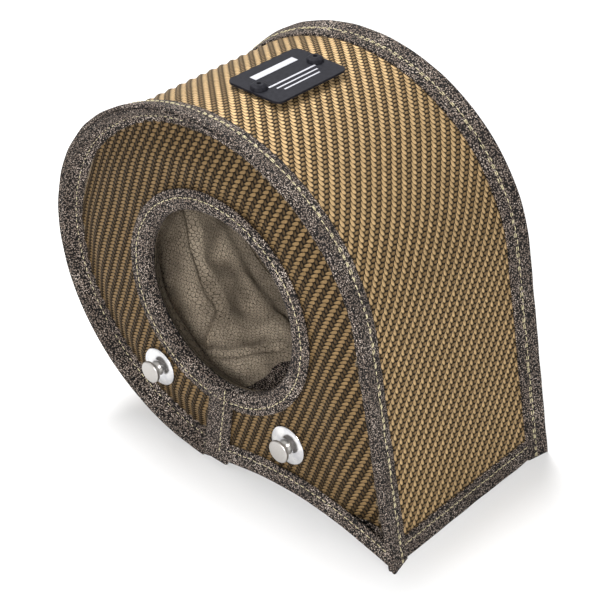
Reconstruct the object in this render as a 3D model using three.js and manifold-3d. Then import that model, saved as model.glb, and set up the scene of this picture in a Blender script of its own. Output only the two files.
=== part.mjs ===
// Turbo heat blanket: a padded jacket that wraps a turbine housing, laid out in millimetres.
// X runs across the snail outline, Z is up and Y runs back from the front seam's tip to the rear one.
// The working origin is the centre of the outline's round stretch, on the front seam's tip plane.
import * as THREE from "three";
import { mergeVertices } from "three/addons/utils/BufferGeometryUtils.js";
import Module from "manifold-3d";

const wasm = await Module();
wasm.setup();

// Outline of both side panels, at the tip of the outer seam
const halfWidth = 108.5;
const halfHeight = 102.5;
const flareStartDeg = 10.5;
const seamEndDeg = 268.2;
const arcStepDeg = 7.2;
const bandWidth = 128;
const hemRise = 11;

// Seam fin: two bound edges sewn face to face
const tapeWidth = 13.6;
const tapeThickness = 2.2;
const tapeLean = 3;
const tipRound = 0.8;
const panelTapeWidth = 14;
const panelTapeDepth = 8.2;
const gap = 0.3;

// Layers
const fabricThickness = 1.4;
const ribDepth = 0.6;
const linerThickness = 0.8;
const bandMatThickness = 6.8;
const panelMatThickness = 6.5;
const panelFace = 2;
const skirtInset = 26;
const skirtStart = 15;
const skirtLap = 2;
const skirtFall = 0.2;

// Weave: raised diagonal ribs
const bandRibPeriod = 14;
const panelRibPitch = 9.5;
const panelRibAngleDeg = 71;

// Turbine opening, slit and their binding
const holeX = 9.4;
const holeZ = 1;
const holeShare = 0.4878;
const holeRadius = halfHeight * holeShare;
const holeSides = 36;
const bindingWidth = 14;
const bindingThickness = 1;
const backLeafShortfall = 2;
const wallThickness = 1.2;
const slitTopX = 12.5;
const slitFootX = 5.5;
const slitCoverWidth = 16.5;
const slitCut = 2.4;
const hemWidth = 13;

// Lacing capstans
const capstanX = [-35.5, 57.5];
const capstanDropShares = [0.59, 0.61];
const capstanZ = capstanDropShares.map((share) => -halfHeight * share);
const capstanNames = ["left", "right"];
const washerRadius = 11;
const washerThickness = 1.4;
const washerDish = 0.7;
const washerCrownShare = 0.55;
const washerCrownRise = 0.28;
const studHeadRadius = 6.2;
const studNeckRadius = 3;
const studHeight = 6;
const studHeadThickness = 2.2;
const studHeadBevel = 0.4;
const studUnderBevel = 0.5;
const studWaist = 2.6;
const studFootRadius = 4.2;
const shankRadius = 2.2;
const shankClearance = 0.3;
const retainerRadius = 9;
const retainerThickness = 1.2;
const roundSides = 16;
const holeRoundSides = 12;

// Nameplate on the band's crown
const plateLength = 50;
const plateWidth = 35;
const plateThickness = 1.2;
const plateCorner = 4;
const rivetSpacing = 40;
const rivetHeadRadius = 4.5;
const rivetHeadHeight = 2.4;
const rivetFaceShare = 0.55;
const rivetShoulderShare = 0.9;
const rivetShoulderDrop = 0.96;
const rivetBore = 1.2;
const rivetBoreDepth = 1.6;
const backingRadius = 6.5;
const backingClearance = 0.6;

const fabricTan = { color: 0xa98f66, roughness: 0.6, metalness: 0 };
const fabricBrown = { color: 0x84683f, roughness: 0.6, metalness: 0 };
const tapeGrey = { color: 0x5c5650, roughness: 0.85, metalness: 0 };
const matWhite = { color: 0xd8d2c4, roughness: 0.95, metalness: 0 };
const linerGrey = { color: 0x6b6357, roughness: 0.9, metalness: 0 };
const steel = { color: 0xc9c9cc, roughness: 0.25, metalness: 1 };
const blackPlate = { color: 0x26262b, roughness: 0.45, metalness: 0.3 };

const floorZ = -halfHeight;
const far = 400;
const radians = THREE.MathUtils.degToRad;
const halfY = bandWidth / 2;
const group = new THREE.Group();
group.name = "turbo_heat_blanket";

// Outline as points with outward normals, from below the flare's foot over the top to the slit.
function seamPath() {
  const start = radians(flareStartDeg);
  const joint = new THREE.Vector2(halfWidth * Math.cos(start), halfHeight * Math.sin(start));
  const down = new THREE.Vector2(
    halfWidth * Math.sin(start),
    -halfHeight * Math.cos(start),
  ).normalize();
  const flareLength = (joint.y - floorZ + tapeWidth) / -down.y;
  const flareNormal = new THREE.Vector2(-down.y, down.x);
  const path = [1, 0.5].map((share) => ({
    point: joint.clone().addScaledVector(down, flareLength * share),
    normal: flareNormal,
  }));
  const steps = Math.round((seamEndDeg - flareStartDeg) / arcStepDeg);
  for (let i = 0; i <= steps; i++) {
    const turn = radians(flareStartDeg + ((seamEndDeg - flareStartDeg) * i) / steps);
    const normal = new THREE.Vector2(
      halfHeight * Math.cos(turn),
      halfWidth * Math.sin(turn),
    ).normalize();
    const point = new THREE.Vector2(halfWidth * Math.cos(turn), halfHeight * Math.sin(turn));
    path.push({ point, normal });
  }
  return path;
}

const path = seamPath();
const insetPoints = (inset) =>
  path.map(({ point, normal }) => point.clone().addScaledVector(normal, -inset));

// The free lower edge of a side panel, arched up between the slit and the flare's foot.
function hemPoints(lift, steps = 10) {
  const foot = footOf(0);
  const points = [];
  for (let i = 0; i <= steps; i++) {
    const share = i / steps;
    const x = slitFootX - slitCoverWidth / 2 + (foot - slitFootX + slitCoverWidth / 2) * share;
    points.push(new THREE.Vector2(x, floorZ + lift + hemRise * Math.sin(Math.PI * share)));
  }
  return points;
}

// Where the outline, set in by an amount, meets the floor.
function footOf(inset) {
  const [low, high] = insetPoints(inset);
  const share = (floorZ - low.y) / (high.y - low.y);
  return low.x + (high.x - low.x) * share;
}

function fromTriangles(positions, index) {
  const geometry = new THREE.BufferGeometry();
  geometry.setAttribute("position", new THREE.Float32BufferAttribute(positions, 3));
  geometry.setIndex(index);
  return geometry;
}

function solid(geometry) {
  const bare = geometry.clone();
  bare.deleteAttribute("normal");
  bare.deleteAttribute("uv");
  const merged = mergeVertices(bare, 1e-3);
  return new wasm.Manifold(
    new wasm.Mesh({
      numProp: 3,
      vertProperties: new Float32Array(merged.attributes.position.array),
      triVerts: new Uint32Array(merged.index.array),
    }),
  );
}

function geometryOf(body) {
  const mesh = body.getMesh();
  return fromTriangles(Array.from(mesh.vertProperties), Array.from(mesh.triVerts));
}

// A prism along Y of a shape drawn in X and Z.
function prism(points, fromY, toY) {
  const shape = new THREE.Shape(points);
  const geometry = new THREE.ExtrudeGeometry(shape, {
    depth: toY - fromY,
    bevelEnabled: false,
    steps: 1,
  });
  geometry.rotateX(Math.PI / 2);
  geometry.translate(0, toY, 0);
  return solid(geometry);
}

// A section of (outward, back) points carried along the outline, closed by flat ends.
function sweep(section, stations = path) {
  return sweepVaried(() => section, stations);
}

// The same for a section that changes from station to station.
function sweepVaried(sectionAt, stations) {
  const positions = [];
  const index = [];
  const count = sectionAt(0).length;
  stations.forEach(({ point, normal }, i) => {
    for (const [outward, back] of sectionAt(i)) {
      positions.push(point.x + normal.x * outward, back, point.y + normal.y * outward);
    }
  });
  for (let i = 0; i + 1 < stations.length; i++) {
    for (let j = 0; j < count; j++) {
      const next = (j + 1) % count;
      const a = i * count + j;
      const b = i * count + next;
      index.push(a, a + count, b, b, a + count, b + count);
    }
  }
  const last = stations.length - 1;
  for (const [a, b, c] of capFaces(sectionAt(0))) index.push(a, b, c);
  for (const [a, b, c] of capFaces(sectionAt(last))) {
    index.push(last * count + a, last * count + c, last * count + b);
  }
  const body = solid(fromTriangles(positions, index));
  return body.volume() > 0 ? body : solid(fromTriangles(positions, flipped(index)));
}

function capFaces(section) {
  const contour = section.map(([outward, back]) => new THREE.Vector2(outward, back));
  const faces = THREE.ShapeUtils.triangulateShape(contour, []);
  return THREE.ShapeUtils.isClockWise(contour) ? faces.map(([a, b, c]) => [a, c, b]) : faces;
}

function flipped(index) {
  const turned = [];
  for (let i = 0; i < index.length; i += 3) turned.push(index[i], index[i + 2], index[i + 1]);
  return turned;
}

function lathe(profile, sides = roundSides) {
  const points = profile.map(([radius, height]) => new THREE.Vector2(radius, height));
  return new THREE.LatheGeometry(points, sides);
}

// A round post along Y at a place in X and Z.
function postAlongY(radius, x, z, fromY, toY, sides = holeRoundSides) {
  const geometry = new THREE.CylinderGeometry(radius, radius, toY - fromY, sides);
  geometry.translate(x, (fromY + toY) / 2, z);
  return solid(geometry);
}

const aboveFloor = (body) => body.intersect(floorBox());

function floorBox() {
  const box = new THREE.BoxGeometry(2 * far, 2 * far, far);
  box.translate(0, 0, floorZ + far / 2);
  return solid(box);
}

// The slit's line, from the opening down to the floor, as a strip of some width.
function slitStrip(width, topZ, fromY, toY, shift = 0) {
  const drop = halfHeight - Math.abs(slitHeadZ());
  const lean = (slitFootX - slitTopX) / drop;
  const low = floorZ - tapeWidth;
  const xAt = (z) => slitTopX + lean * (slitHeadZ() - z) + shift;
  return prism(
    [
      new THREE.Vector2(xAt(topZ) - width / 2, topZ),
      new THREE.Vector2(xAt(low) - width / 2, low),
      new THREE.Vector2(xAt(low) + width / 2, low),
      new THREE.Vector2(xAt(topZ) + width / 2, topZ),
    ],
    fromY,
    toY,
  );
}

function slitHeadZ() {
  return holeZ - holeRadius;
}

// Side panel region: the inset outline, closed along the slit and the arched hem.
function panelRegion(inset, fromY, toY, hemLift = wallThickness + gap) {
  const points = insetPoints(inset).filter((p) => p.y > floorZ + hemLift);
  points.unshift(new THREE.Vector2(footOf(inset), floorZ + hemLift));
  points.push(new THREE.Vector2(slitFootX, points[points.length - 1].y));
  points.push(new THREE.Vector2(slitFootX, floorZ + hemLift));
  return prism(points, fromY, toY).subtract(underHem(hemLift));
}

function underHem(lift, fromY = -far, toY = far) {
  const arch = hemPoints(lift);
  const first = arch[0];
  const last = arch[arch.length - 1];
  arch.unshift(new THREE.Vector2(first.x, floorZ - far));
  arch.push(new THREE.Vector2(last.x + tapeWidth, last.y));
  arch.push(new THREE.Vector2(last.x + tapeWidth, floorZ - far));
  return prism(arch, fromY, toY);
}

function opening(radius, fromY = -far, toY = far) {
  return postAlongY(radius, holeX, holeZ, fromY, toY, holeSides);
}

function cutForHardware(body) {
  return capstanX.reduce(
    (cut, x, i) =>
      cut.subtract(postAlongY(shankRadius + shankClearance, x, capstanZ[i], -far, far)),
    body,
  );
}

// What every layer of a side panel loses: the opening, the slit and the capstan holes.
function trimPanel(body) {
  const bored = body.subtract(opening(holeRadius + wallThickness + gap));
  const slit = bored.subtract(slitStrip(slitCut, holeZ, -far, far));
  return cutForHardware(slit);
}

// Twill ribs as a zigzag sheet, straight and diagonal across the panel.
function ribbedSheet(faceY, backY) {
  const reach = 2 * halfWidth;
  const half = panelRibPitch / 2;
  const count = 2 * Math.ceil(reach / panelRibPitch);
  const profile = [];
  for (let i = -count; i <= count; i++) {
    profile.push(new THREE.Vector2(i * half, i % 2 === 0 ? 0 : ribDepth));
  }
  profile.push(new THREE.Vector2(count * half, backY - faceY));
  profile.push(new THREE.Vector2(-count * half, backY - faceY));
  const geometry = new THREE.ExtrudeGeometry(new THREE.Shape(profile), {
    depth: 2 * reach,
    bevelEnabled: false,
    steps: 1,
  });
  geometry.translate(0, 0, -reach);
  geometry.rotateY(radians(90 - panelRibAngleDeg));
  geometry.translate(0, faceY, 0);
  return solid(geometry);
}

const panelBack = panelFace + fabricThickness + gap + panelMatThickness;
const linerBack = panelBack + linerThickness;
const rimInset = tapeThickness + tapeLean + gap;

function panelFabric() {
  const sheet = ribbedSheet(panelFace, panelFace + fabricThickness);
  const plateau = sheet.intersect(panelRegion(skirtInset, -far, far));
  const low = panelTapeDepth + gap;
  const skirt = sweep([
    [-skirtInset - skirtLap, panelFace + ribDepth],
    [-skirtInset, panelFace + ribDepth],
    [-skirtStart, low],
    [-rimInset, low + skirtFall],
    [-rimInset, low + fabricThickness],
    [-skirtStart, low + fabricThickness],
    [-skirtInset, panelFace + fabricThickness],
    [-skirtInset - skirtLap, panelFace + fabricThickness],
  ]);
  const hemmed = skirt.subtract(underHem(wallThickness + gap));
  return trimPanel(plateau.add(hemmed));
}

function panelMat() {
  const front = panelFace + fabricThickness + gap;
  const coreInset = skirtInset + skirtLap / 2;
  const core = panelRegion(coreInset, front, panelBack);
  const edge = sweep([
    [-coreInset - skirtLap, front],
    [-coreInset, front],
    [-skirtStart, panelBack - gap],
    [-skirtStart, panelBack],
    [-coreInset - skirtLap, panelBack],
  ]);
  return trimPanel(core.add(edge.subtract(underHem(wallThickness + gap))));
}

function panelLiner() {
  return trimPanel(panelRegion(rimInset, panelBack, linerBack));
}

// Binding of the opening, the slit's covering edge and the hem, sewn as one tape.
function openingBinding() {
  const frontLeaf = [panelFace - bindingThickness - gap, panelFace - gap];
  const backLeaf = [linerBack + gap, linerBack + gap + bindingThickness];
  const wallSpan = [frontLeaf[0], backLeaf[1]];
  const ring = (outer, [fromY, toY]) => opening(outer, fromY, toY).subtract(opening(holeRadius));
  const frontRing = ring(holeRadius + bindingWidth, frontLeaf);
  const backRing = ring(holeRadius + bindingWidth - backLeafShortfall, backLeaf);
  const wall = ring(holeRadius + wallThickness, wallSpan);
  const inside = panelRegion(skirtStart, -far, far, 0);
  const cover = slitStrip(slitCoverWidth, holeZ, ...frontLeaf).subtract(opening(holeRadius));
  const hem = (width, [fromY, toY]) =>
    inside.intersect(prism(hemBand(width), fromY, toY));
  const hemFront = hem(hemWidth, frontLeaf);
  const hemBack = hem(hemWidth - backLeafShortfall, backLeaf);
  const hemWall = hem(wallThickness, wallSpan);
  const pieces = [backRing, wall, cover, hemFront, hemWall, hemBack];
  const joined = pieces.reduce((sum, piece) => sum.add(piece), frontRing);
  return aboveFloor(cutForHardware(joined));
}

function hemBand(width) {
  const low = hemPoints(0);
  const high = hemPoints(width).reverse();
  return low.concat(high);
}

// The hidden bound edge of the panel's other half, under the slit's cover.
function slitEdgeTape() {
  const bar = slitStrip(slitCut - 2 * gap, slitHeadZ() - wallThickness, panelFace, linerBack);
  const clear = bar.subtract(opening(holeRadius + wallThickness + gap));
  return aboveFloor(clear).subtract(underHem(wallThickness + gap));
}

function bandSeamTape() {
  const tip = tipRound;
  return aboveFloor(
    sweep([
      [0, tip],
      [-tapeLean, tapeWidth],
      [-tapeLean - tapeThickness, tapeWidth],
      [-tapeThickness, tip],
      [-tapeThickness + tip, 0],
      [-tip, 0],
    ]),
  );
}

function panelSeamTape() {
  const outer = -tapeThickness - gap;
  const lean = (tapeLean * panelTapeDepth) / tapeWidth;
  const tip = tipRound;
  const body = sweep([
    [outer, tip],
    [outer - lean, panelTapeDepth],
    [-panelTapeWidth - tipRound, panelTapeDepth],
    [-panelTapeWidth, panelTapeDepth - tapeThickness],
    [outer - lean - tapeThickness, panelTapeDepth - tapeThickness],
    [outer - tapeThickness, tip],
    [outer - tapeThickness + tip, 0],
    [outer - tip, 0],
  ]);
  return aboveFloor(body);
}

// Band layers follow the outline at a set depth below the seam's tip.
const bandFront = tapeWidth + gap;
const bandFace = -tapeLean - gap;
const bandFabricBack = -tapeLean - tapeThickness;
const bandMatFace = bandFabricBack - gap;
const bandMatBack = bandMatFace - bandMatThickness;
const bandLinerFace = bandMatBack - gap;
const bandLinerBack = bandLinerFace - linerThickness;

function bandLayer(outer, inner, edge) {
  return [
    [outer, edge],
    [outer, bandWidth - edge],
    [inner, bandWidth - edge],
    [inner, edge],
  ];
}

// Stations spaced evenly along the band's own face, from the flare's foot to the slit.
function bandStations(spacing) {
  const curve = insetPoints(-bandFace);
  const lengths = [0];
  for (let i = 1; i < curve.length; i++) {
    lengths.push(lengths[i - 1] + curve[i].distanceTo(curve[i - 1]));
  }
  const total = lengths[lengths.length - 1];
  const count = Math.round(total / spacing);
  const stations = [];
  for (let i = 0; i <= count; i++) {
    const along = (total * i) / count;
    let k = 1;
    while (k < curve.length - 1 && lengths[k] < along) k++;
    const part = (along - lengths[k - 1]) / (lengths[k] - lengths[k - 1]);
    const normal = path[k - 1].normal.clone().lerp(path[k].normal, part).normalize();
    stations.push({ point: curve[k - 1].clone().lerp(curve[k], part), normal });
  }
  return stations;
}

const bandEndLift = wallThickness + gap;

// The band's layers stop short of the tape that wraps each of its ends.
function trimBand(body) {
  const low = new THREE.BoxGeometry(2 * far, 2 * far, far);
  low.translate(far, 0, floorZ + bandEndLift - far / 2);
  const side = new THREE.BoxGeometry(2 * far, 2 * far, halfHeight);
  side.translate(bandEndX - bandEndLift + far, 0, floorZ);
  const foot = footOf(0) / 2;
  const keep = new THREE.BoxGeometry(2 * far, 2 * far, 2 * far);
  keep.translate(foot + far, 0, 0);
  const nearSlit = solid(side).subtract(solid(keep));
  return cutForRivets(body.subtract(solid(low)).subtract(nearSlit));
}

const bandEndX = -halfHeight * Math.tan(radians(270 - seamEndDeg));

function cutForRivets(body) {
  return rivetPlaces.reduce((cut, y) => {
    const post = new THREE.CylinderGeometry(
      shankRadius + shankClearance,
      shankRadius + shankClearance,
      halfHeight,
      holeRoundSides,
    );
    post.rotateX(Math.PI / 2);
    post.translate(0, y, halfHeight);
    return cut.subtract(solid(post));
  }, body);
}

const rivetPlaces = [halfY - rivetSpacing / 2, halfY + rivetSpacing / 2];

// Diagonal ribs on a lattice whose points alternate between crest and valley.
function bandFabric() {
  const step = bandRibPeriod / 2;
  const span = bandWidth - 2 * bandFront;
  const rows = Math.round(span / step);
  const sectionAt = (i) => {
    const section = [];
    for (let j = 0; j <= rows; j++) {
      const valley = (i + j) % 2 === 0 ? 0 : ribDepth;
      section.push([-valley, bandWidth - bandFront - (span * j) / rows]);
    }
    section.push([bandFabricBack - bandFace, bandFront]);
    section.push([bandFabricBack - bandFace, bandWidth - bandFront]);
    return section;
  };
  return trimBand(sweepVaried(sectionAt, bandStations(step)));
}

const bandMat = () => trimBand(sweep(bandLayer(bandMatFace, bandMatBack, bandStart)));
const bandLiner = () => trimBand(sweep(bandLayer(bandLinerFace, bandLinerBack, bandStart)));
const bandStart = linerBack + gap;

// Tape folded over the band's end at the flare's foot; its underside is flat on the floor.
function footTape() {
  const outerLeaf = bandFace + gap + bindingThickness;
  const innerLeaf = bandLinerBack - gap - bindingThickness;
  const start = bandFront + gap;
  const whole = sweep(bandLayer(outerLeaf, innerLeaf, start), path.slice(0, 2));
  const inside = sweep(
    bandLayer(bandFace + gap, bandLinerBack - gap, 0),
    path.slice(0, 2),
  );
  const lift = new THREE.BoxGeometry(2 * far, 2 * far, far);
  lift.translate(0, 0, floorZ + wallThickness + far / 2);
  const top = new THREE.BoxGeometry(2 * far, 2 * far, hemWidth);
  top.translate(0, 0, floorZ + hemWidth / 2);
  return whole.intersect(solid(top)).subtract(inside.intersect(solid(lift)));
}

// Tape folded over the band's other end, at the slit.
function slitEndTape() {
  const outerLeaf = bandFace + gap + bindingThickness;
  const innerLeaf = bandLinerBack - gap - bindingThickness;
  const start = bandFront + gap;
  const last = path.slice(-4);
  const whole = sweep(bandLayer(outerLeaf, innerLeaf, start), last);
  const inside = sweep(bandLayer(bandFace + gap, bandLinerBack - gap, 0), last);
  const reach = new THREE.BoxGeometry(hemWidth, 2 * far, 2 * far);
  reach.translate(bandEndX - hemWidth / 2, 0, 0);
  const wall = new THREE.BoxGeometry(far, 2 * far, 2 * far);
  wall.translate(bandEndX - wallThickness - far / 2, 0, 0);
  return whole.intersect(solid(reach)).subtract(inside.intersect(solid(wall)));
}

// Lacing capstan: dished washer, waisted stud with a flat head, and a retainer inside.
function washerProfile() {
  const face = panelFace - gap;
  const bore = shankRadius + shankClearance;
  return [
    [bore, face],
    [bore, face - washerThickness],
    [washerRadius * washerCrownShare, face - washerThickness - washerCrownRise],
    [washerRadius, face - washerThickness + washerDish],
    [washerRadius, face],
    [bore, face],
  ];
}

function studProfile() {
  const seat = panelFace - 2 * gap - washerThickness - washerCrownRise;
  const top = seat - studHeight;
  const under = top + studHeadThickness;
  const end = linerBack + retainerThickness + 3 * gap;
  return [
    [0, top],
    [studHeadRadius - studHeadBevel, top],
    [studHeadRadius, top + studHeadBevel],
    [studHeadRadius, under - studHeadBevel],
    [studHeadRadius - studHeadBevel, under],
    [studNeckRadius, under + studUnderBevel],
    [studWaist, (under + seat) / 2],
    [studFootRadius, seat],
    [shankRadius, seat],
    [shankRadius, end],
    [0, end],
  ];
}

function retainerProfile() {
  const face = linerBack + gap;
  const bore = shankRadius + shankClearance;
  return [
    [bore, face],
    [retainerRadius, face],
    [retainerRadius, face + retainerThickness],
    [bore, face + retainerThickness],
    [bore, face],
  ];
}

function turnedAt(profile, x, z) {
  const geometry = lathe(profile);
  geometry.translate(x, 0, z);
  const body = solid(geometry);
  if (body.volume() > 0) return body;
  return solid(lathe([...profile].reverse()).translate(x, 0, z));
}

// Nameplate, its two rivets and the washers that back them inside the liner.
const plateSeat = halfHeight + bandFace + gap;

function nameplate() {
  const shape = new THREE.Shape();
  const [w, l, r] = [plateWidth / 2, plateLength / 2, plateCorner];
  shape.moveTo(-w + r, -l);
  shape.lineTo(w - r, -l);
  shape.absarc(w - r, -l + r, r, -Math.PI / 2, 0);
  shape.absarc(w - r, l - r, r, 0, Math.PI / 2);
  shape.absarc(-w + r, l - r, r, Math.PI / 2, Math.PI);
  shape.absarc(-w + r, -l + r, r, Math.PI, 1.5 * Math.PI);
  const geometry = new THREE.ExtrudeGeometry(shape, {
    depth: plateThickness,
    bevelEnabled: false,
    curveSegments: 4,
    steps: 1,
  });
  geometry.translate(0, halfY, plateSeat);
  return cutForRivets(solid(geometry));
}

function uprightTurned(profile, y) {
  const geometry = lathe(profile);
  geometry.rotateX(Math.PI / 2);
  geometry.translate(0, y, 0);
  const body = solid(geometry);
  if (body.volume() > 0) return body;
  const turned = lathe([...profile].reverse());
  turned.rotateX(Math.PI / 2);
  turned.translate(0, y, 0);
  return solid(turned);
}

const backingSeat = halfHeight + bandLinerBack - backingClearance;

function rivetProfile() {
  const seat = plateSeat + plateThickness + gap;
  const top = seat + rivetHeadHeight;
  const low = backingSeat - retainerThickness - gap;
  return [
    [0, top - rivetBoreDepth],
    [rivetBore, top - rivetBoreDepth],
    [rivetBore, top],
    [rivetHeadRadius * rivetFaceShare, top],
    [rivetHeadRadius * rivetShoulderShare, top - rivetShoulderDrop],
    [rivetHeadRadius, seat],
    [shankRadius, seat],
    [shankRadius, low],
    [0, low],
  ];
}

function backingProfile() {
  const bore = shankRadius + shankClearance;
  return [
    [bore, backingSeat - retainerThickness],
    [backingRadius, backingSeat - retainerThickness],
    [backingRadius, backingSeat],
    [bore, backingSeat],
    [bore, backingSeat - retainerThickness],
  ];
}

function addNode(name, body, material) {
  const mesh = new THREE.Mesh(geometryOf(body), new THREE.MeshStandardMaterial(material));
  mesh.name = name;
  group.add(mesh);
}

// The rear panel is the front one mirrored about the band's middle.
function addPair(name, body, material) {
  addNode(`front_${name}`, body, material);
  const mirrored = geometryOf(body).scale(1, -1, 1).translate(0, bandWidth, 0);
  const index = flipped(Array.from(mirrored.index.array));
  mirrored.setIndex(index);
  const mesh = new THREE.Mesh(mirrored, new THREE.MeshStandardMaterial(material));
  mesh.name = `rear_${name}`;
  group.add(mesh);
}

addPair("panel_outer_fabric", panelFabric(), fabricBrown);
addPair("panel_insulation", panelMat(), matWhite);
addPair("panel_liner", panelLiner(), linerGrey);
addPair("opening_binding", openingBinding(), tapeGrey);
addPair("slit_edge_tape", slitEdgeTape(), tapeGrey);

// The seam's panel tape ends at the slit's cover: a strip from the cover's left edge rightwards is cut away.
const coverClearance = slitCoverWidth + 2 * gap;
const tailWidth = coverClearance + 4 * hemWidth;
const tail = slitStrip(tailWidth, holeZ, -far, far, (tailWidth - coverClearance) / 2);
const leftOfSlit = (body) => body.subtract(tail);

addPair("panel_seam_tape", leftOfSlit(panelSeamTape()), tapeGrey);
addPair("band_seam_tape", bandSeamTape(), tapeGrey);
addNode("band_outer_fabric", bandFabric(), fabricTan);
addNode("band_insulation", bandMat(), matWhite);
addNode("band_liner", bandLiner(), linerGrey);
addNode("band_foot_tape", footTape(), tapeGrey);
addNode("band_slit_end_tape", slitEndTape(), tapeGrey);
capstanX.forEach((x, i) => {
  const z = capstanZ[i];
  addPair(`capstan_washer_${capstanNames[i]}`, turnedAt(washerProfile(), x, z), steel);
  addPair(`capstan_stud_${capstanNames[i]}`, turnedAt(studProfile(), x, z), steel);
  addPair(`capstan_retainer_${capstanNames[i]}`, turnedAt(retainerProfile(), x, z), steel);
});
addNode("nameplate", nameplate(), blackPlate);
rivetPlaces.forEach((y, i) => {
  addNode(`nameplate_rivet_${i + 1}`, uprightTurned(rivetProfile(), y), blackPlate);
  addNode(`rivet_backing_washer_${i + 1}`, uprightTurned(backingProfile(), y), steel);
});

// Frame: the middle of the footprint, on the floor.
const box = new THREE.Box3().setFromObject(group);
group.position.set(-(box.min.x + box.max.x) / 2, -halfY, -box.min.z);

export default group;
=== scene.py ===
import math

import bpy
import numpy as np
from mathutils import Matrix, Vector


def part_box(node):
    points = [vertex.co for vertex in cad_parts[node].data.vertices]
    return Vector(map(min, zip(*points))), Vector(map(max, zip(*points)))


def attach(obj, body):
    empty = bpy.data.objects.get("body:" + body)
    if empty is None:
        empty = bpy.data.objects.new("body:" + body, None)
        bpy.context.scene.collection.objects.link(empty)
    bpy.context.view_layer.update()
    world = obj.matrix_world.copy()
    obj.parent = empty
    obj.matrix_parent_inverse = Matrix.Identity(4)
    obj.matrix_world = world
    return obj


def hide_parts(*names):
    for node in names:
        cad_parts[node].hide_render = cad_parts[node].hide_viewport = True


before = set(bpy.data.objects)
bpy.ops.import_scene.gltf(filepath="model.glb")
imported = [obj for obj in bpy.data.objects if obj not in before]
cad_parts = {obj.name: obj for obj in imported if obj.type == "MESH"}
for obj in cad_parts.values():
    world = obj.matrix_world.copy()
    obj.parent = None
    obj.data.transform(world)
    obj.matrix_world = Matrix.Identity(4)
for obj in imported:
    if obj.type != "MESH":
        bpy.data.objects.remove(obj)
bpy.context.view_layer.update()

# Working frame: millimetres from the centre of the outline's round stretch, Y = 0 at the front seam's tip.
MM = 0.001
HALF_WIDTH = 108.5
HALF_HEIGHT = 102.5
FLOOR = -HALF_HEIGHT
FLARE_START = math.radians(10.5)
SEAM_END = math.radians(268.2)
BAND_WIDTH = 128.0
HEM_RISE = 11.0

# Bound edges
TAPE_WIDTH = 13.6
TAPE_THICKNESS = 2.2
TAPE_LEAN = 3.0
PANEL_TAPE_WIDTH = 12.0
PANEL_TAPE_DEPTH = 8.2
BINDING_THICKNESS = 1.0
WALL_THICKNESS = 1.2
SLIT_COVER_WIDTH = 16.5
HEM_WIDTH = 13.0
HEM_END_INSET = 5.5
HEM_LAP = 2.0
FOOT_TAPE_REACH = 12.0
FOOT_TAPE_START = 10.5

# Stitches
STITCH_PITCH = 3.7
STITCH_LENGTH = 3.0
STITCH_WIDTH = 0.5
STITCH_SHARES = np.linspace(-1, 1, 5)
STITCH_TURNS = np.linspace(0, 2 * math.pi, 6, endpoint=False)

# Layers, as depths below the seam's tip on the band and behind it on the panels
BAND_FACE = 4.3
BAND_LINER_FACE = 12.6
PANEL_FACE = 2.0
PANEL_EDGE_DEPTH = 7.6
PANEL_LINER_FACE = 10.2

# Opening and slit
HOLE = np.array([10.2, 1.2])
HOLE_RADIUS = 50.0
RING_WIDTH = 11.8
RING_ROLL = 6.2
RING_STITCH = 7.4
SLIT_TOP_X = 12.5
SLIT_FOOT_X = 5.5

# Weave
BAND_YARN_ALONG = 2.12
BAND_YARN_ACROSS = 1.85
PANEL_YARN = 1.8
TWILL_REPEAT = 4
RIB_RELIEF = 0.45
PANEL_YARN_ANGLE = math.radians(25.0)

# Hardware
CAPSTANS = {"left": (-35.5, -60.5), "right": (57.5, -62.5)}
WASHER_RADIUS = 11.0
WASHER_BORE = 2.6
STUD_RADIUS = 6.2
STUD_HEIGHT = 6.0
STUD_WAIST = 2.6
SHANK_RADIUS = 2.2
PLATE_LOW, PLATE_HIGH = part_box("nameplate")
MIDDLE_X = (PLATE_LOW.x + PLATE_HIGH.x) / 2

# Bars on the plate: place across it, width and length
PLATE_BARS = [(9.0, 4.2, 30.0), (-3.2, 1.1, 33.0), (-6.6, 0.9, 29.0), (-9.8, 0.9, 25.0)]

# Lining: where it starts in from each seam, and its creases. Each crease has its points as degrees round the
# outline and depth, then its half width and its drop.
LINING_START = 8.0
LINING_SWELL = 6.5
LINING_PUFF = 13.0
LINER_SWAY = 1.5
LINING_CREASES = [
    ([(-172, 78), (-147, 70), (-129, 65), (-120, 45)], 2.6, 3.4),
    ([(-119, 36), (-110, 57), (-104, 77)], 2.4, 2.6),
    ([(-160, 44), (-143, 38)], 2.4, 1.8),
]

# Studio, in the row frame's metres
CAMERA_SPOT = (0.4805, -0.5244, 0.5646)
CAMERA_RIGHT = (0.73536, 0.67767, 0.0)
CAMERA_DOWN = (0.38425, -0.41696, -0.82371)
CAMERA_FORWARD = (-0.55820, 0.60572, -0.56701)
CAMERA_LENS = 98.28
CAMERA_SENSOR = 36.0
WORLD_LEVEL = 0.28
FLOOR_HALF = 4.0

# Each lamp: where it stands, where it points, its diameter and its power in watts
LAMPS = {
    "overhead": ((-0.5, 0.2, 1.2), (0.0, 0.0, 0.1), 0.6, 20.0),
    "front_fill": ((-0.4, -1.4, 0.7), (0.0, 0.0, 0.1), 1.0, 1.4),
    "opening_light": ((0.42, -0.56, 0.52), (-0.03, 0.03, 0.04), 0.15, 6.5),
}


def to_row(points):
    """Working millimetres to the row frame's metres."""
    shift = np.array([MIDDLE_X / MM, -BAND_WIDTH / 2, HALF_HEIGHT])
    return (np.asarray(points, float) + shift) * MM


def on_side(side, y):
    """Depth behind the named side's own seam tip, as a Y."""
    return y if side == "front" else BAND_WIDTH - y


def smooth(low, high, value):
    """0 below low and 1 above high, with an eased step between."""
    share = np.clip((value - low) / (high - low), 0, 1)
    return share * share * (3 - 2 * share)


# Outline


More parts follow.
